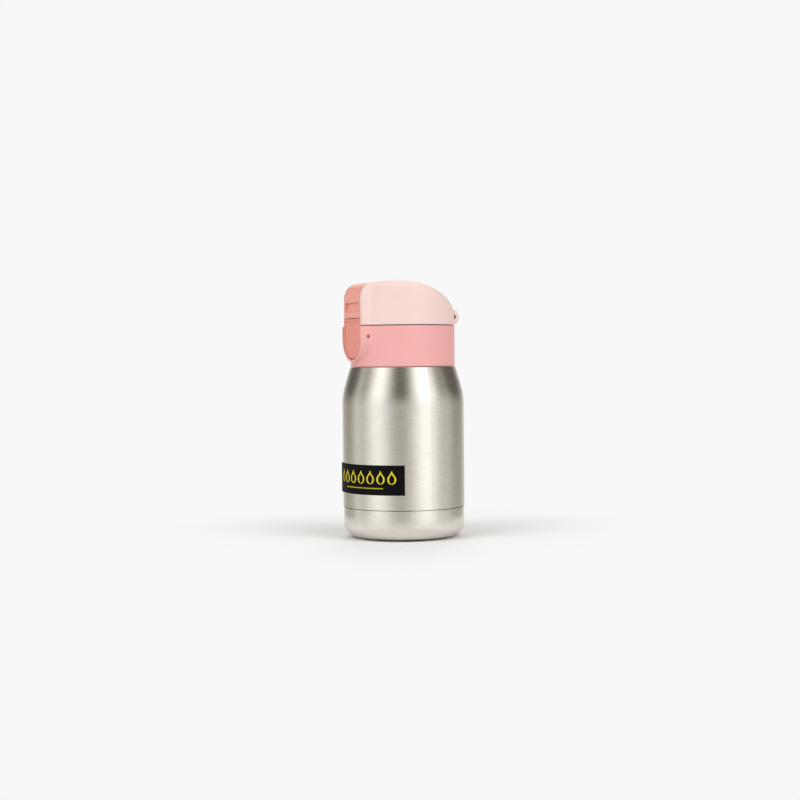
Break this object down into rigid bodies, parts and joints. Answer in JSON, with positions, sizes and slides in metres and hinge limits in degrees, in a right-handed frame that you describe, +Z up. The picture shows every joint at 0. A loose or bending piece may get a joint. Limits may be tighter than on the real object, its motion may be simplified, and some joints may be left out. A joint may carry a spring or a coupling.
{
  "type": "vacuum drinking bottle",
  "caption": "Small steel vacuum-insulated drinking bottle for a toddler, with a screw-on collar, a spout, a sprung flip lid, a push button and a safety lock.",
  "frame": {"origin": "on the floor at the centre of the silicone foot", "axes": "+Z up the bottle's axis; the push button faces -Y; the lid's hinge is on the +Y side with its pin along X"},
  "size_m": [0.066, 0.0661, 0.1376],
  "materials": {
    "steel": "brushed around the axis",
    "bright_steel": "bright drawn wire",
    "collar_pink": "satin",
    "cover_pink": "satin",
    "coral": "satin",
    "silicone": "translucent silicone",
    "foot_silicone": "matte",
    "spout_plastic": "smooth",
    "label_black": "printed wrap",
    "getter_metal": "sintered pellet"
  },
  "bodies": {
    "bottle": {"outer_shell": "steel", "inner_vessel": "steel", "vacuum_bottom_plate": "steel", "getter": "getter_metal", "base_cup": "steel", "foot_pad": "foot_silicone", "label": "label_black"},
    "seal": {"neck_seal": "silicone"},
    "lid_base": {"collar": "collar_pink", "spout": "spout_plastic", "spout_o_ring": "silicone", "hinge_pin": "bright_steel", "hinge_spring": "bright_steel", "button_pin": "bright_steel", "button_spring": "bright_steel"},
    "button": {"push_button": "coral"},
    "lid": {"lid_cover": "cover_pink", "lid_liner": "spout_plastic", "spout_stopper": "silicone", "lock_pin": "bright_steel"},
    "lock": {"safety_lock": "coral"}
  },
  "joints": [
    {"name": "lid_lift", "type": "slide", "parent": "bottle", "child": "seal", "axis": [0, 0, 1], "range_m": [0, 0.0061]},
    {"name": "lid_unscrew", "type": "hinge", "parent": "seal", "child": "lid_base", "pos_m": [0, 0, 0], "axis": [0, 0, 1], "range_deg": [0, 540]},
    {"name": "lid_open", "type": "hinge", "parent": "lid_base", "child": "lid", "pos_m": [0, 0.0238, 0.1186], "axis": [-1, 0, 0], "range_deg": [0, 110]},
    {"name": "lock_flip", "type": "hinge", "parent": "lid", "child": "lock", "pos_m": [0, -0.025, 0.131], "axis": [-1, 0, 0], "range_deg": [0, 14]},
    {"name": "button_press", "type": "hinge", "parent": "lid_base", "child": "button", "pos_m": [0, -0.0268, 0.1082], "axis": [1, 0, 0], "range_deg": [0, 8], "deforming": ["button_spring"]}
  ],
  "couplings": [
    {"joint": "lid_lift", "follows": "lid_unscrew", "m_per_rad": 0.00063662}
  ]
}
